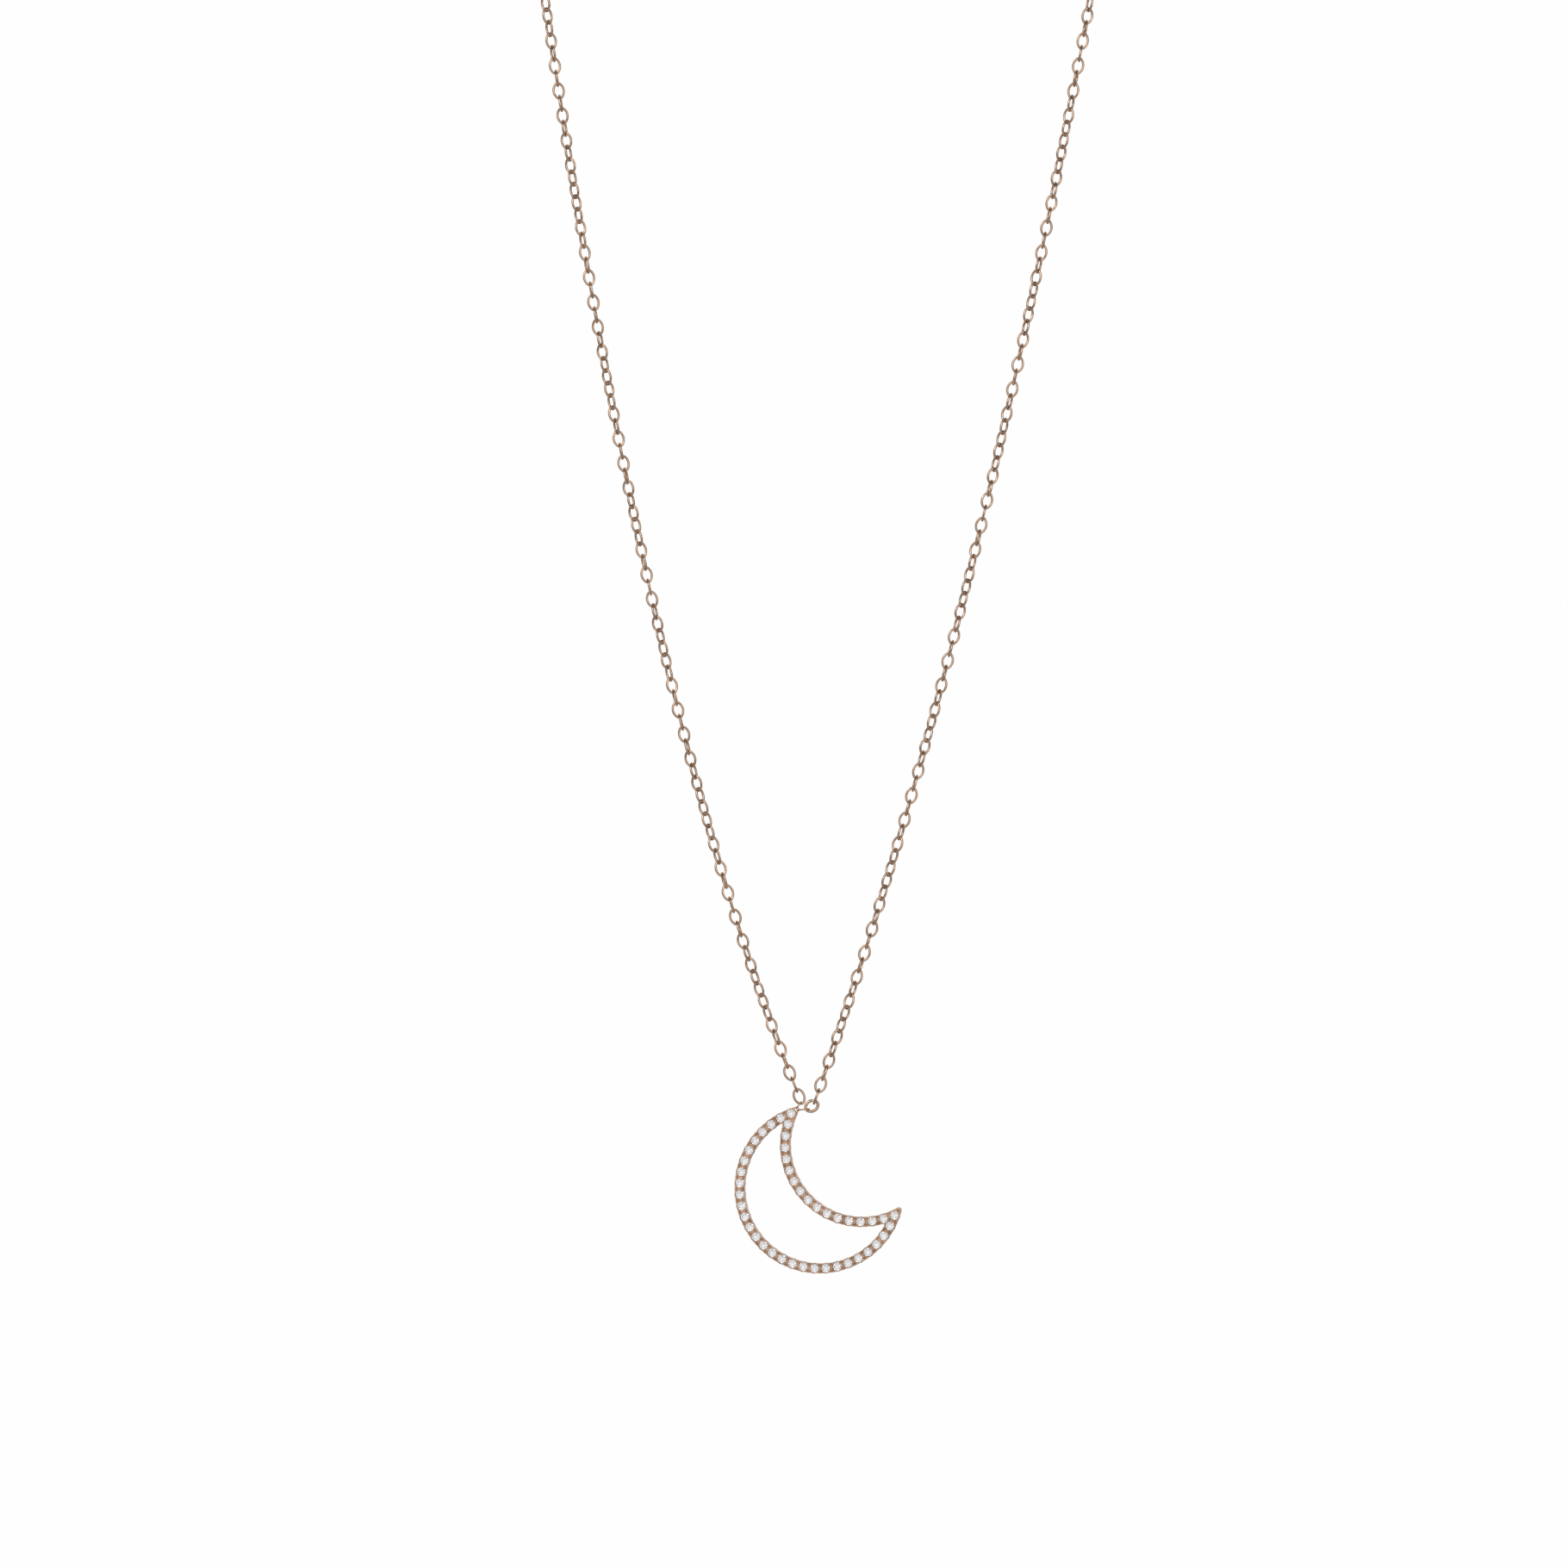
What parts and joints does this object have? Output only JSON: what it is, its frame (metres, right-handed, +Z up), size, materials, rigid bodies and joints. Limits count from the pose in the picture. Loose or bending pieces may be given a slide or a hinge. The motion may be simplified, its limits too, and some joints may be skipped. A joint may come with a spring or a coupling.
{
  "type": "pendant necklace",
  "caption": "Rose-gold cable chain necklace with an open crescent moon pendant set with white stones.",
  "frame": {"origin": "middle of the loop that lies on the neck, level with the chain on the neck's sides", "axes": "+Z up, -Y the wearer's front where the crescent hangs, +Y the nape with the clasp, +X the right as seen from the front"},
  "size_m": [0.0728, 0.0537, 0.1794],
  "materials": {
    "rose_gold": "polished",
    "white_stones": "polished",
    "spring_steel": "satin"
  },
  "bodies": {
    "neck_loop": {"left_neck_chain_1": "rose_gold", "left_neck_chain_2": "rose_gold", "left_neck_chain_3": "rose_gold", "left_neck_chain_4": "rose_gold", "right_neck_chain_1": "rose_gold", "right_neck_chain_2": "rose_gold", "right_neck_chain_3": "rose_gold", "right_neck_chain_4": "rose_gold", "clasp_jump_ring": "rose_gold", "clasp_body": "rose_gold", "clasp_rivet": "rose_gold", "clasp_spring": "spring_steel", "closing_ring": "rose_gold"},
    "clasp_gate": {"clasp_lever": "rose_gold"},
    "left_drop_1": {"left_strand_01": "rose_gold", "left_strand_02": "rose_gold"},
    "right_drop_1": {"right_strand_01": "rose_gold", "right_strand_02": "rose_gold"},
    "left_drop_2": {"left_strand_03": "rose_gold", "left_strand_04": "rose_gold"},
    "right_drop_2": {"right_strand_03": "rose_gold", "right_strand_04": "rose_gold"},
    "left_drop_3": {"left_strand_05": "rose_gold", "left_strand_06": "rose_gold"},
    "right_drop_3": {"right_strand_05": "rose_gold", "right_strand_06": "rose_gold"},
    "left_drop_4": {"left_strand_07": "rose_gold", "left_strand_08": "rose_gold"},
    "right_drop_4": {"right_strand_07": "rose_gold", "right_strand_08": "rose_gold"},
    "left_drop_5": {"left_strand_09": "rose_gold", "left_strand_10": "rose_gold"},
    "right_drop_5": {"right_strand_09": "rose_gold", "right_strand_10": "rose_gold"},
    "left_drop_6": {"left_strand_11": "rose_gold", "left_strand_12": "rose_gold"},
    "right_drop_6": {"right_strand_11": "rose_gold", "right_strand_12": "rose_gold"},
    "bail": {"left_tip_ring": "rose_gold", "right_tip_ring": "rose_gold", "right_jump_ring": "rose_gold"},
    "moon": {"moon_frame": "rose_gold", "outer_arc_stones": "white_stones", "inner_arc_stones": "white_stones"},
    "extender_upper": {"upper_extender_chain": "rose_gold"},
    "extender_lower": {"lower_extender_chain": "rose_gold"},
    "drop": {"end_drop": "rose_gold"}
  },
  "joints": [
    {"name": "clasp_gate_hinge", "type": "hinge", "parent": "neck_loop", "child": "clasp_gate", "pos_m": [0.0013, 0.037, -0.00035], "axis": [0, 1, 0], "range_deg": [0, 25], "stiffness_Nm_per_rad": 0.000002, "springref_deg": -28.65, "deforming": ["clasp_spring"]},
    {"name": "left_swing_1", "type": "hinge", "parent": "neck_loop", "child": "left_drop_1", "pos_m": [-0.03396, -0.012, -0.012], "axis": [1, 0, 0], "range_deg": [-75, 75]},
    {"name": "right_swing_1", "type": "hinge", "parent": "neck_loop", "child": "right_drop_1", "pos_m": [0.03396, -0.012, -0.012], "axis": [1, 0, 0], "range_deg": [-75, 75]},
    {"name": "left_swing_2", "type": "hinge", "parent": "left_drop_1", "child": "left_drop_2", "pos_m": [-0.03057, -0.012, -0.03681], "axis": [-1, 0, 0], "range_deg": [-75, 75]},
    {"name": "right_swing_2", "type": "hinge", "parent": "right_drop_1", "child": "right_drop_2", "pos_m": [0.02964, -0.012, -0.03681], "axis": [-1, 0, 0], "range_deg": [-75, 75]},
    {"name": "left_swing_3", "type": "hinge", "parent": "left_drop_2", "child": "left_drop_3", "pos_m": [-0.02673, -0.012, -0.06154], "axis": [1, 0, 0], "range_deg": [-75, 75]},
    {"name": "right_swing_3", "type": "hinge", "parent": "right_drop_2", "child": "right_drop_3", "pos_m": [0.02489, -0.012, -0.06154], "axis": [1, 0, 0], "range_deg": [-75, 75]},
    {"name": "left_swing_4", "type": "hinge", "parent": "left_drop_3", "child": "left_drop_4", "pos_m": [-0.02229, -0.012, -0.08618], "axis": [-1, 0, 0], "range_deg": [-75, 75]},
    {"name": "right_swing_4", "type": "hinge", "parent": "right_drop_3", "child": "right_drop_4", "pos_m": [0.01961, -0.012, -0.08618], "axis": [-1, 0, 0], "range_deg": [-75, 75]},
    {"name": "left_swing_5", "type": "hinge", "parent": "left_drop_4", "child": "left_drop_5", "pos_m": [-0.01703, -0.012, -0.11065], "axis": [1, 0, 0], "range_deg": [-75, 75]},
    {"name": "right_swing_5", "type": "hinge", "parent": "right_drop_4", "child": "right_drop_5", "pos_m": [0.01368, -0.012, -0.11065], "axis": [1, 0, 0], "range_deg": [-75, 75]},
    {"name": "left_swing_6", "type": "hinge", "parent": "left_drop_5", "child": "left_drop_6", "pos_m": [-0.01058, -0.012, -0.13488], "axis": [-1, 0, 0], "range_deg": [-75, 75]},
    {"name": "right_swing_6", "type": "hinge", "parent": "right_drop_5", "child": "right_drop_6", "pos_m": [0.00694, -0.012, -0.13488], "axis": [-1, 0, 0], "range_deg": [-75, 75]},
    {"name": "pendant_nod", "type": "hinge", "parent": "left_drop_6", "child": "bail", "pos_m": [-0.00226, -0.012, -0.15866], "axis": [1, 0, 0], "range_deg": [-60, 60]},
    {"name": "pendant_swing", "type": "hinge", "parent": "bail", "child": "moon", "pos_m": [-0.0028, -0.012, -0.15943], "axis": [-0.1045, -0.9945, 0], "range_deg": [-45, 45]},
    {"name": "extender_swing", "type": "hinge", "parent": "neck_loop", "child": "extender_upper", "pos_m": [-0.00383, 0.03845, 0], "axis": [1, 0, 0], "range_deg": [-30, 60]},
    {"name": "extender_lower_swing", "type": "hinge", "parent": "extender_upper", "child": "extender_lower", "pos_m": [-0.00383, 0.03845, -0.0123], "axis": [-1, 0, 0], "range_deg": [-75, 75]},
    {"name": "drop_swing", "type": "hinge", "parent": "extender_lower", "child": "drop", "pos_m": [-0.00383, 0.03845, -0.02506], "axis": [1, 0, 0], "range_deg": [-45, 45]}
  ],
  "couplings": [
    {"joint": "right_swing_1", "follows": "left_swing_1", "ratio": 1},
    {"joint": "right_swing_2", "follows": "left_swing_2", "ratio": 1},
    {"joint": "right_swing_3", "follows": "left_swing_3", "ratio": 1},
    {"joint": "right_swing_4", "follows": "left_swing_4", "ratio": 1},
    {"joint": "right_swing_5", "follows": "left_swing_5", "ratio": 1},
    {"joint": "right_swing_6", "follows": "left_swing_6", "ratio": 1}
  ]
}
